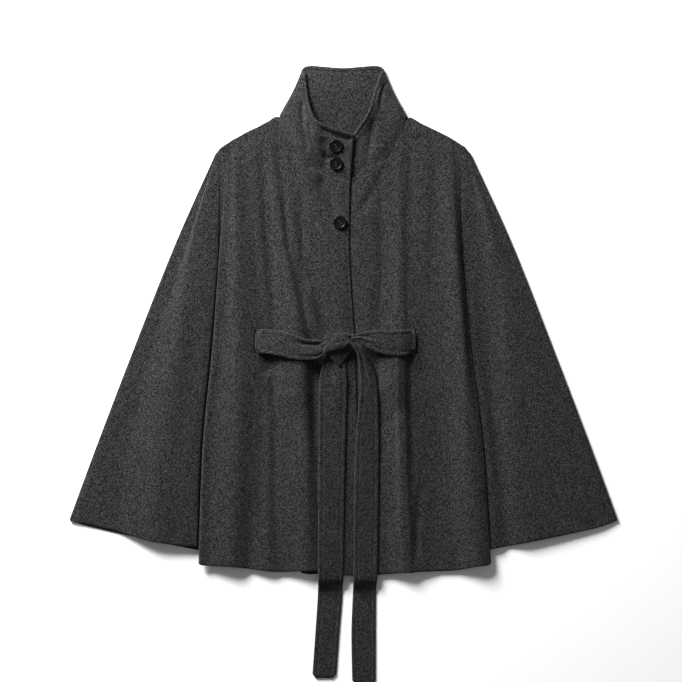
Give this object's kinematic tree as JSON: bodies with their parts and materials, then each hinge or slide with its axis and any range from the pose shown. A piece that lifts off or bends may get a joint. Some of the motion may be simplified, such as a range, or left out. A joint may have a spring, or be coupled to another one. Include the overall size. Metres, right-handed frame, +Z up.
{
  "type": "cape coat",
  "caption": "Flared wool cape coat with a stand collar, button front and tied waist belt, laid out flat with its front up.",
  "frame": {"origin": "under the middle of the laid-out coat's bounding box, on the surface it lies on", "axes": "+X across the coat to the wearer's left, +Y from the hem up to the collar, +Z up from the surface through the back and then the fronts"},
  "size_m": [0.9295, 1.049, 0.0326],
  "materials": {
    "wool": "felted charcoal melange wool, napped",
    "button": "glossy black"
  },
  "bodies": {
    "root": {"back": "wool", "front_right": "wool", "front_left": "wool", "collar": "wool", "belt": "wool", "belt_knot": "wool", "belt_tail_right": "wool", "belt_tail_left": "wool", "button_top": "button", "button_middle": "button", "button_breast": "button"}
  },
  "joints": []
}
